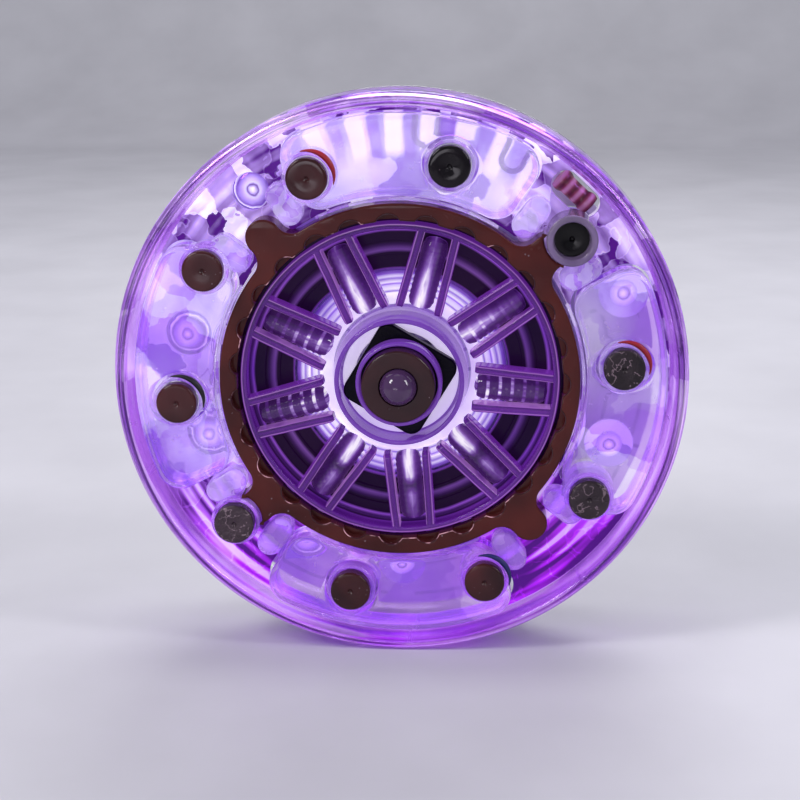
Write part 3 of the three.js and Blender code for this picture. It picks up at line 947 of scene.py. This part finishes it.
# The dark ring's violet lines glow on near-black: painted lines of light.
black_violet, glow_line_violet = (34, 12, 46), (150, 84, 200)
dark_purple = turned_rings(
    "dark_purple_ring",
    13.3,
    20.6,
    [
        (0.0, glow_line_violet),
        (0.05, black_violet),
        (0.3, black_violet),
        (0.35, (116, 72, 150)),
        (0.43, (58, 26, 82)),
        (0.48, black_violet),
        (0.66, black_violet),
        (0.7, glow_line_violet),
        (0.74, (70, 32, 100)),
        (0.8, black_violet),
        (1.0, (20, 6, 28)),
    ],
    0.55,
    Specular_IOR_Level=0.08,
)
cell_steel = metal("cell_nickel", (206, 206, 212), (168, 168, 178), 0.18, 700)
brass = metal("contact_brass", (222, 184, 104), (176, 138, 66), 0.2, 500)

# ---------------------------------------------------------------- outlines


def sector(inner, outer, half_span, corner, middle):
    """An annular sector with rounded corners: four arcs about the axis and the corner centres."""
    outer_turn = half_span - math.degrees(math.asin(corner / (outer - corner)))
    inner_turn = half_span - math.degrees(math.asin(corner / (inner + corner)))
    rim = arc((0, 0), outer, -outer_turn, outer_turn, 40)[:-1]
    rise = arc(polar(outer - corner, outer_turn), corner, outer_turn, half_span + 90, 10)
    fall = arc(polar(inner + corner, inner_turn), corner, half_span + 90, inner_turn + 180, 10)[:-1]
    bore = arc((0, 0), inner, inner_turn, -inner_turn, 40)[:-1]
    down = arc(polar(inner + corner, -inner_turn), corner, 180 - inner_turn, 270 - half_span, 10)
    up = arc(polar(outer - corner, -outer_turn), corner, -half_span - 90, -outer_turn, 10)[:-1]
    return turn(np.concatenate([rim, rise, fall, bore, down, up]), middle)


def bearing(start, end):
    return math.degrees(math.atan2(end[1] - start[1], end[0] - start[0]))


def lobed_outline(reach=22.06, lobe_centre=24.1, lobe=2.2, blend=2.0):
    """The plate's outside: arcs of the main circle, joined through tangent fillets to round lobes.
    A fillet's centre lies reach + blend from the axis and lobe + blend from the lobe's centre."""
    outside, span = reach + blend, lobe + blend
    cosine = (outside**2 + lobe_centre**2 - span**2) / (2 * outside * lobe_centre)
    swing = math.degrees(math.acos(cosine))
    points = []
    for middle in LOBE_ANGLES:
        head = polar(lobe_centre, middle)
        before, after = polar(outside, middle - swing), polar(outside, middle + swing)
        foot = middle - swing + 180
        points.append(arc(before, blend, foot, foot - (foot - bearing(before, head)) % 360, 8)[:-1])
        start = bearing(head, before)
        points.append(arc(head, lobe, start, start + (bearing(head, after) - start) % 360, 24)[:-1])
        start = bearing(after, head)
        points.append(arc(after, blend, start, start - (start - middle - swing - 180) % 360, 8)[:-1])
        points.append(arc((0, 0), reach, middle + swing, middle + 90 - swing, 48)[:-1])
    return np.concatenate(points)


def scalloped_bore(bore=19.95, reach=20.8, bite=1.6, count=27):
    """The plate's bore: a circle with round scallops whose centres lie reach - bite from the axis."""
    middle = reach - bite
    swing = math.acos((bore**2 + middle**2 - bite**2) / (2 * bore * middle))
    side = math.degrees(math.atan2(bore * math.sin(swing), bore * math.cos(swing) - middle))
    one = arc((middle, 0), bite, -side, side, 12)
    return np.concatenate([turn(one, 360 / count * i) for i in range(count)])


def rounded_square(side, corner, degrees):
    reach = (side / 2 - corner) * math.sqrt(2)
    corners = [arc(polar(reach, q), corner, q - 45, q + 45, 10) for q in (45, 135, 225, 315)]
    return turn(np.concatenate(corners), degrees)


def tab_outline(start, end, width):
    """A bar pointing away from the axis, round at both ends."""
    half = width / 2
    nose = arc((start + half, 0), half, 90, 270, 16)
    return np.concatenate([nose, arc((end - half, 0), half, 270, 450, 16)])


def resistor_window(wide):
    """A rounded slot over the resistor, along its length."""
    half, reach = wide / 2, 3.4 - wide / 2
    slot = np.concatenate([arc((0, reach), half, 0, 180, 14), arc((0, -reach), half, 180, 360, 14)])
    return turn(slot, RESISTOR_TURN) + centre("resistor")


def notched(loop, middle, bite):
    """A loop with the points that fall inside a circle pushed out onto it."""
    away = loop - middle
    distance = np.linalg.norm(away, axis=1)[:, None]
    return np.where(distance < bite, middle + away / distance * bite, loop)


# ---------------------------------------------------------------- the housing


def ring_profile(inner, outer, low, high, edge):
    return fillet([(inner, low), (outer, low), (outer, high), (inner, high)], edge)


def build_housing():
    rim = fillet(
        [
            (RIM_RADIUS, SPLIT),
            (RIM_RADIUS, -2.5),
            (RIM_RADIUS - 0.6, -1.72),
            (RIM_RADIUS - 1.3, -1.72),
            (33.5, -2.4),
            (33.0, -4.8),
            (33.2, -6.6),
            (33.6, SPLIT),
        ],
        0.5,
    )
    piece("rim_wall", revolved(rim, 200), violet_clear, ["lower_housing"])
    windows = [sector(PAD_INNER - 0.3, PAD_OUTER + 0.1, PAD_HALF_SPAN + 0.6, PAD_CORNER, m)
               for m in PAD_MIDDLES.values()]
    openings = [circle(LAMPS[1], 2.3, 40), resistor_window(3.5)]
    rings = [circle((0, 0), 33.3, 160), *windows, *openings, circle((0, 0), 22.4, 120)]
    floor = plate(rings, FLOOR_BACK, FLOOR_FRONT, 0.2)
    piece("recessed_floor", floor, floor_glow, ["lower_housing"])
    bosses = []
    for number, at in enumerate(SCREWS):
        if number == SUNK_SCREW:
            top = SUNK_BOSS_FRONT
            corners = [(2.05, -1.5), (2.7, -6.2), (3.0, -6.2), (BOSS_RADIUS, top), (2.25, top)]
            sunk = revolved(fillet(corners, [0.2, 0, 0, 0.3, 0.3]), 64, at)
            piece("sunk_screw_boss", sunk, sunk_ring_grey, ["lower_housing"])
            continue
        foot = [(2.6, -6.6), (3.25, -6.6), (BOSS_RADIUS, -5.4)]
        corners = [*foot, (BOSS_RADIUS, BOSS_FRONT), (2.6, BOSS_FRONT)]
        bosses.append(revolved(fillet(corners, [0, 0.1, 0.5, 0.2, 0.15]), 48, at))
    piece("screw_bosses", joined(bosses), boss_clear, ["lower_housing"])
    tabs = []
    for middle in LOBE_ANGLES:
        for offset in (-TAB_OFFSET, TAB_OFFSET):
            tab = turn(tab_outline(22.95, 28.5, 3.2), middle + offset)
            tabs.append(plate([tab], -5.1, -2.3, 0.5, 6))
    piece("finger_tabs", joined(tabs), tab_clear, ["lower_housing"])


def build_pads():
    for side, middle in PAD_MIDDLES.items():
        name = "light_pad_" + side
        near = [at for at in SCREWS if polar(1, middle) @ at > 27.3 * math.cos(math.radians(36))]
        outer = sector(PAD_INNER, PAD_OUTER, PAD_HALF_SPAN, PAD_CORNER, middle)
        inside, crossing = [], []
        for at in near:
            clear = np.linalg.norm(outer - at, axis=1).min()
            (inside if clear > BOSS_RADIUS + 0.6 else crossing).append(at)
        for at in crossing:
            outer = notched(outer, at, BOSS_RADIUS + PAD_GAP)
        holes = [circle(at, BOSS_RADIUS + PAD_GAP, 48) for at in inside]
        pad = plate([outer, *holes], PAD_BACK, PAD_FRONT, 0.55, 6)
        piece(name, pad, lavender_clear, [name])
        wall = sector(PAD_INNER + 0.1, PAD_OUTER - 0.1, PAD_HALF_SPAN - 0.2, PAD_CORNER, middle)
        bore = sector(PAD_INNER + 0.7, PAD_OUTER - 0.7, PAD_HALF_SPAN - 1.5, PAD_CORNER - 0.6, middle)
        skirt = plate([wall, bore], -7.1, -4.75, 0.12, 3)
        piece(name + "_skirt", skirt, violet_clear, [name])


def build_plate():
    outline = lobed_outline()
    for at in (SCREWS[1], SCREWS[6]):
        outline = notched(outline, at, BOSS_RADIUS + 0.25)
    shape = plate([outline, scalloped_bore()], back("base_plate"), front("base_plate"), 0.28, 5)
    piece("base_plate_moulding", shape, brown_gloss, ["base_plate"])
    skirt = revolved(ring_profile(20.9, 22.0, FLOOR_BACK, back("base_plate") + 3.3, 0.12), 160)
    piece("base_plate_skirt", skirt, brown_gloss, ["base_plate"])
    ledge = revolved(ring_profile(20.05, 20.85, -4.1, -3.05, 0.12), 160)
    piece("base_plate_ledge", ledge, brown_gloss, ["base_plate"])
    # The scallop lip is a thin tube that carries painted highlights.
    curve = scalloped_bore()
    curve = np.concatenate([curve, curve[:1]]) * 1.004
    lip = tube(lifted(curve, front("base_plate") - 0.05), 0.055, 8)
    piece("base_plate_scallop_lip", lip, lip_painted_glints, ["base_plate"])
    # The thin lips along the plate's openings glow in the tab finish: a painted bright line round the
    # plate's edge.
    lips = []
    for middle in PAD_MIDDLES.values():
        edge = arc((0, 0), 22.5, middle - 29, middle + 29, 60)
        lips.append(tube(lifted(edge, -2.7), 0.2, 10))
    piece("plate_opening_lips", joined(lips), tab_clear, ["lower_housing"])


# ---------------------------------------------------------------- the middle


def build_spokes():
    """Nine channels: two walls that spread a little inwards, and a half round barrel between."""
    parts, barrels = [revolved(ring_profile(*SPOKE_RING, -5.2, -2.7, 0.2), 180)], []
    start, end = SPOKE_INNER, SPOKE_END
    reach = np.array([start, start + 0.25, start + 0.8, 14, end])
    grow = np.array([0.75, 0.93, 1, 1, 1])
    for angle in SPOKE_ANGLES:
        along = turn([1.0, 0, 0], angle)
        across = np.array([-along[1], along[0], 0])
        up = np.array([0, 0, 1.0])
        half = np.interp(reach, [start, end], [SPOKE_START_HALF, SPOKE_END_HALF])
        for side in (-1, 1):
            wall = ring_profile(-SPOKE_WALL, SPOKE_WALL, -1.15, 1.15, 0.2)
            path = reach[:, None] * along + (side * (half - SPOKE_WALL))[:, None] * across + up * -3.87
            parts.append(swept(wall, path, across, up, grow))
        arch = np.concatenate([arc((0, 0), 1.64, 0, 180, 20), [(-1.64, -0.35), (1.64, -0.35)]])
        t = np.linspace(0, 1, 45)
        rounded = np.sqrt(np.clip(1 - (np.abs(2 * t - 1) ** 12), 0.02, 1))
        bulge = rounded * (1 - 0.05 * np.cos(t * 12 * math.pi) ** 2)
        run = (start + 0.1 + t * 9.0)[:, None] * along + up * -4.75
        barrels.append(swept(arch, run, across, up, bulge))
    piece("spoke_ring_moulding", joined(parts), spoke_violet, ["spoke_ring"])
    piece("spoke_barrels", joined(barrels), barrel_clear, ["spoke_ring"])


def stepped_profile(inner, outer, low, high, steps, drop):
    corners = [(inner, low), (outer, low)]
    for i in range(steps):
        z = high - drop * i
        corners.append((outer - (outer - inner) * i / steps, z))
        corners.append((outer - (outer - inner) * (i + 1) / steps, z))
    return fillet(corners, 0.12, 3)


def build_rings():
    dark = stepped_profile(13.4, 20.5, -7.5, -5.6, 4, 0.4)
    piece("stepped_ring_turned", revolved(dark, 180), dark_purple, ["stepped_ring"])
    bright = stepped_profile(8.7, 13.1, -9.2, -7.2, 3, 0.4)
    piece("reflector_dish_plated", revolved(bright, 160), silver_rings_painted_reflection, ["reflector_dish"])


def build_hub():
    boss = fillet([(7.4, -9.2), (8.4, -9.2), (8.4, -5.4), (7.95, -2.2), (7.4, -2.2)], 0.22)
    piece("hub_boss_moulding", revolved(boss, 140), boss_violet, ["hub_boss"])
    floor = ring_profile(5.7, 7.2, -6.3, -5.5, 0.15)
    piece("hub_floor_disc", revolved(floor, 120), white_glow, ["hub_floor"])
    cover = plate([rounded_square(11.0, 1.5, -31), circle((0, 0), 3.0, 60)], -5.2, -3.7, 0.25, 4)
    piece("switch_cover_block", cover, black_plastic, ["switch_cover"])
    collar = fillet([(4.8, -3.5), (5.3, -3.5), (5.3, -1.6), (5.15, -1.3), (4.8, -1.3)], 0.14)
    piece("tip_collar_ring", revolved(collar, 120), boss_violet, ["tip_collar"])


def build_tip():
    plunger = fillet(
        [(0, -6.5), (2.6, -6.5), (2.6, -2.5), (4.5, -2.5), (4.5, -0.18),
         (4.32, 0), (2.38, 0), (2.38, -1.4), (0, -1.4)],
        [0, 0.2, 0.2, 0.15, 0.1, 0.1, 0.06, 0.2, 0],
    )
    disc = revolved(plunger, 120)
    piece("tip_plunger_disc", disc, brown_disc, ["tip_plunger"], TIP)
    dome = arc((0, -0.25), 2.25, 90, 0, 20)
    nub = np.concatenate([[(0, -1.1), (2.2, -1.1)], dome[::-1]])
    piece("tip_nub_dome", revolved(nub, 96), smoke_clear, ["tip_nub"], TIP)
    button = plate([circle((0, 0), 1.7, 48)], -8.3, -6.8, 0.2)
    piece("switch_button_cap", button, black_plastic, ["switch_button"], TIP)
    base = plate([rounded_square(7.6, 0.8, 0), circle((0, 0), 2.0, 48)], -9.2, -7.6, 0.2)
    piece("switch_base_block", base, black_plastic, ["switch_base"])


def build_screws():
    for number, at in enumerate(SCREWS, 1):
        name = f"housing_screw_{number}"
        # Painted reflection: alike heads take brown, gunmetal and black by what each reflects.
        finish = screw_brown
        if number in GUNMETAL_SCREWS:
            finish = gunmetal
        elif number in BLACK_SCREWS:
            finish = screw_black
        face = front(name)
        head = fillet(
            [(0, -13), (1.2, -13), (1.2, face - 1.6), (2.5, face - 1.6), (2.5, face - 0.22),
             (2.28, face - 0.02), (1.4, face), (0.5, face - 0.1), (0.36, face - 0.12),
             (0.14, face - 0.34), (0, face - 0.34)],
            [0, 0.2, 0.1, 0.15, 0.2, 0.2, 0.8, 0.1, 0.1, 0.05, 0],
        )
        piece(name + "_turned", revolved(head, 64, at), finish, [name])


# ---------------------------------------------------------------- the lamps, board and cells


def build_lamps():
    """Each lamp: a flanged body under a low dome that carries its distance from the lamp's axis."""
    for number, at in enumerate(LAMPS, 1):
        name = f"lamp_{number}"
        wide = radius(name)
        dome = arc((0, -8.8), 2.0, 88, 0, 14) * np.array([wide / 2.0, 1.0])
        body = np.concatenate([[(0, LAMP_BACK), (wide, LAMP_BACK)], dome[::-1], [(0, LAMP_FRONT)]])
        made = piece(name + "_dome", revolved(body, 48, at), lamp_glow_lens, [name])
        points = np.empty(len(made.data.vertices) * 3)
        made.data.vertices.foreach_get("co", points)
        points = points.reshape(-1, 3)
        away = np.hypot(points[:, 0] / MM - at[0], (points[:, 2] - AXIS_HEIGHT) / MM - at[1])
        made.data.attributes.new("lamp_reach", "FLOAT", "POINT").data.foreach_set("value", away / wide)


def build_board():
    posts = [circle(at, 2.8, 32) for at in SCREWS]
    lamps = [circle(at, 2.9, 32) for at in LAMPS]
    rings = [circle((0, 0), 33, 160), *posts, *lamps, resistor_window(4.6), circle((0, 0), 21.2, 120)]
    veil = plate(rings, -7.9, -7.2, 0.12, 3)
    piece("light_diffuser_ring", veil, diffuser_glow, ["light_diffuser"])
    slots = []
    for degrees in (84, 63):
        nose = turn(tab_outline(28.6, 32.4, 2.7), degrees)[:17]
        ends = [turn([32.4, 1.35], degrees), turn([32.4, -1.35], degrees)]
        path = np.concatenate([ends[:1], nose, ends[1:]])
        slots.append(tube(lifted(path, -6.9), 0.34, 10))
    piece("diffuser_slots", joined(slots), slot_violet, ["light_diffuser"])
    board = plate([circle((0, 0), 31.5, 160), *posts], BOARD_BACK, BOARD_FRONT, 0.1, 2)
    piece("circuit_board_sheet", board, white_board, ["circuit_board"])
    bead = fillet([(0, -11.25), (0.35, -11.15), (0.85, -10.65), (0, -10.65)], [0, 0.2, 0, 0])
    feet = [at + turn([0, step], bearing((0, 0), at)) for at in LAMPS for step in (-LAMP_LEG, LAMP_LEG)]
    solder = joined([revolved(bead, 20, foot) for foot in feet])
    piece("circuit_board_solder", solder, cell_steel, ["circuit_board"])
    low = -16.4
    for number, degrees in enumerate(CELL_ANGLES, 1):
        at = polar(CELL_REACH, degrees)
        can = fillet(
            [(0, low), (5.1, low), (5.2, low + 0.35), (CELL_RADIUS, low + 0.6),
             (CELL_RADIUS, HOLDER_FRONT), (0, HOLDER_FRONT)],
            [0, 0.1, 0.1, 0.3, 0.3, 0],
        )
        name = f"button_cell_{number}"
        piece(name + "_can", revolved(can, 64, at), cell_steel, [name])
    pockets = [circle(polar(CELL_REACH, degrees), CELL_RADIUS + 0.3, 64) for degrees in CELL_ANGLES]
    holder = plate([circle((0, 0), 16, 120), *pockets], HOLDER_BACK, HOLDER_FRONT, 0.3)
    piece("battery_holder_block", holder, black_plastic, ["battery_holder"])
    holes = [circle(polar(CELL_REACH, degrees), 2.6, 40) for degrees in CELL_ANGLES]
    spring = plate([circle((0, 0), 13, 96), *holes, circle((0, 0), 1.6, 32)], -16.8, -16.5, 0.08, 2)
    piece("battery_contact_sheet", spring, brass, ["battery_contact"])
    chip = plate([[(-3, 18.5), (3, 18.5), (3, 22.5), (-3, 22.5)]], -12.4, HOLDER_FRONT, 0.12, 2)
    piece("control_chip_block", chip, black_plastic, ["control_chip"])
    at = centre("resistor")
    ends = np.linspace(-2.8, 2.8, 29)
    swell = 1.15 + 0.25 * np.abs(np.sin(np.clip(np.abs(ends) - 1.2, 0, 1.6) / 1.6 * math.pi))
    swell[[0, -1]] = 0.35
    along = turn([0, 1.0, 0], RESISTOR_TURN)
    path = np.array([*at, -7.95]) + ends[:, None] * along
    side = np.cross(along, [0, 0, 1.0])
    body = swept(circle((0, 0), 1.0, 24), path, side, [0, 0, 1.0], swell)
    piece("resistor_body", body, resistor_bands, ["resistor"])


def build_wires():
    """Each lead runs behind the diffuser and hooks round the feet of the bosses it serves."""
    leads = {
        "red": (23.5, 62, 158, (3, 0)),
        "black": (21.6, 172, 232, (5,)),
        "blue": (23.5, 286, 352, (8,)),
    }
    for colour, (reach, start, end, hooks) in leads.items():
        run = tube(lifted(arc((0, 0), reach, start, end, 40), -8.7), 0.45)
        loops = []
        for number in hooks:
            round_boss = arc(SCREWS[number], BOSS_RADIUS + 0.12, -15, 105, 30)
            taper = 0.06 + 0.3 * np.sin(np.linspace(0, math.pi, 31))
            loops.append(tube(lifted(round_boss, -1.5), 1.0, 12, taper))
        name = colour + "_wire"
        piece(name + "_lead", joined([run, *loops]), INSULATION[colour], [name])


# ---------------------------------------------------------------- the rear


def build_rear():
    outside = [
        (RIM_RADIUS, SPLIT - 0.3),
        (RIM_RADIUS, -12.6),
        (34.2, -15.2),
        (30.4, -17.9),
        (24.2, -20.0),
        (16.5, -21.3),
        (9.2, -21.8),
    ]
    inside = [
        (9.2, -20.2),
        (16.3, -19.7),
        (23.6, -18.4),
        (29.4, -16.4),
        (32.6, -14.2),
        (33.6, -12.6),
        (33.6, SPLIT - 0.3),
    ]
    sizes = [0.35, 2.5, 3, 4, 5, 6, 0.3, 0.3, 6, 5, 4, 3, 2, 0.35]
    shell = revolved(fillet(outside + inside, sizes, 8), 200)
    post = fillet([(1.5, -18), (2.4, -18), (2.4, -6.5), (1.5, -6.5)], [0, 0, 0.2, 0.1])
    posts = [revolved(post, 32, at) for at in SCREWS]
    piece("upper_shell_dome", shell, water_clear, ["upper_shell"])
    piece("upper_shell_posts", joined(posts), water_clear, ["upper_shell"])
    face = back("launcher_hub")
    hub = fillet(
        [(0, -18.6), (5.6, -18.6), (5.6, face), (8.4, face), (8.9, face + 0.5), (8.9, -19.9),
         (10.6, -19.9), (10.6, -18.6), (8.9, -17.6), (0, -17.6)],
        [0, 0.2, 0.25, 0.3, 0.3, 0.3, 0.3, 0.3, 0.3, 0],
    )
    piece("launcher_hub_turned", revolved(hub, 120), violet_clear, ["launcher_hub"])


build_housing()
build_pads()
build_plate()
build_spokes()
build_rings()
build_hub()
build_tip()
build_screws()
build_lamps()
build_board()
build_wires()
build_rear()

# ---------------------------------------------------------------- stage, light and camera


def stage_material():
    made, tree, shader = new_material("pale_floor", Roughness=0.55)
    stops = [(0.3, (196, 194, 200)), (0.7, (206, 204, 210))]
    tint = ramp(noise(object_point(tree), 30, 4), stops)
    fill(shader, Base_Color=tint)
    return made


def build_stage():
    """A floor that sweeps up into a backdrop: flat, then a quarter circle, then upright."""
    depth, rise, wide = 0.55, 0.18, 1.6
    t = np.linspace(0, math.pi / 2, 24)
    bend = np.column_stack([depth + rise * np.sin(t), rise - rise * np.cos(t)])
    line = np.concatenate([[(-0.9, 0)], bend, [(depth + rise, 1.4)]])
    x = np.linspace(-wide, wide, 9)
    grid = np.stack(
        [np.broadcast_to(x[:, None], (9, len(line))), np.broadcast_to(line[:, 0], (9, len(line))),
         np.broadcast_to(line[:, 1], (9, len(line)))], -1
    )
    mesh = bpy.data.meshes.new("floor")
    faces = grid_faces(9, len(line), False, False)[:, ::-1]
    mesh.from_pydata(grid.reshape(-1, 3).tolist(), [], faces.tolist())
    mesh.polygons.foreach_set("use_smooth", np.ones(len(mesh.polygons), bool))
    mesh.materials.append(stage_material())
    floor = bpy.data.objects.new("floor", mesh)
    bpy.context.scene.collection.objects.link(floor)


def area_light(name, place, target, size, power, colour=(1, 1, 1)):
    data = bpy.data.lights.new(name, "AREA")
    data.shape = "RECTANGLE"
    data.size, data.size_y = size
    data.energy = power
    data.color = colour
    made = bpy.data.objects.new(name, data)
    made.location = place
    aim = Vector(target) - Vector(place)
    made.rotation_euler = aim.to_track_quat("-Z", "Y").to_euler()
    bpy.context.scene.collection.objects.link(made)


def build_lights():
    middle = (0, 0, AXIS_HEIGHT)
    area_light("window_left", (-0.3, -0.2, 0.34), middle, (0.1, 0.2), 1.05, (1.0, 0.98, 1.0))
    area_light("window_right", (0.32, -0.14, 0.26), middle, (0.06, 0.2), 0.55, (0.96, 0.95, 1.0))
    area_light("back_light", (0.06, 0.28, 0.34), middle, (0.3, 0.16), 0.8, (0.95, 0.96, 1.0))
    area_light("backdrop_wash", (0, 0.1, 0.9), (0, 0.73, 0.35), (0.6, 0.2), 2.6)
    area_light("front_fill", (-0.1, -0.4, 0.05), middle, (0.2, 0.05), 0.12, (0.95, 0.9, 1.0))
    world = bpy.data.worlds.new("studio")
    world.use_nodes = True
    sky = world.node_tree.nodes["Background"]
    sky.inputs["Color"].default_value = (0.72, 0.76, 0.86, 1)
    sky.inputs["Strength"].default_value = 0.4
    bpy.context.scene.world = world
    bpy.context.scene.view_settings.view_transform = "Standard"


def build_camera():
    """The camera looks at the tip side from a little above and a little to the right."""
    data = bpy.data.cameras.new("camera")
    data.sensor_width = 36
    data.lens = 72
    data.clip_start = 0.01
    camera = bpy.data.objects.new("camera", data)
    ahead = Vector((-0.0590, 0.9626, -0.2645)).normalized()
    right = Vector((0.9982, 0.0590, -0.0077))
    right = (right - ahead * right.dot(ahead)).normalized()
    up = right.cross(ahead)
    place = Vector((0.01167, SCREW_PLANE - 0.18643, AXIS_HEIGHT + 0.04969))
    axes = Matrix((right, up, -ahead)).transposed().to_4x4()
    camera.matrix_world = Matrix.Translation(place) @ axes
    bpy.context.scene.collection.objects.link(camera)
    bpy.context.scene.camera = camera


build_stage()
build_lights()
build_camera()
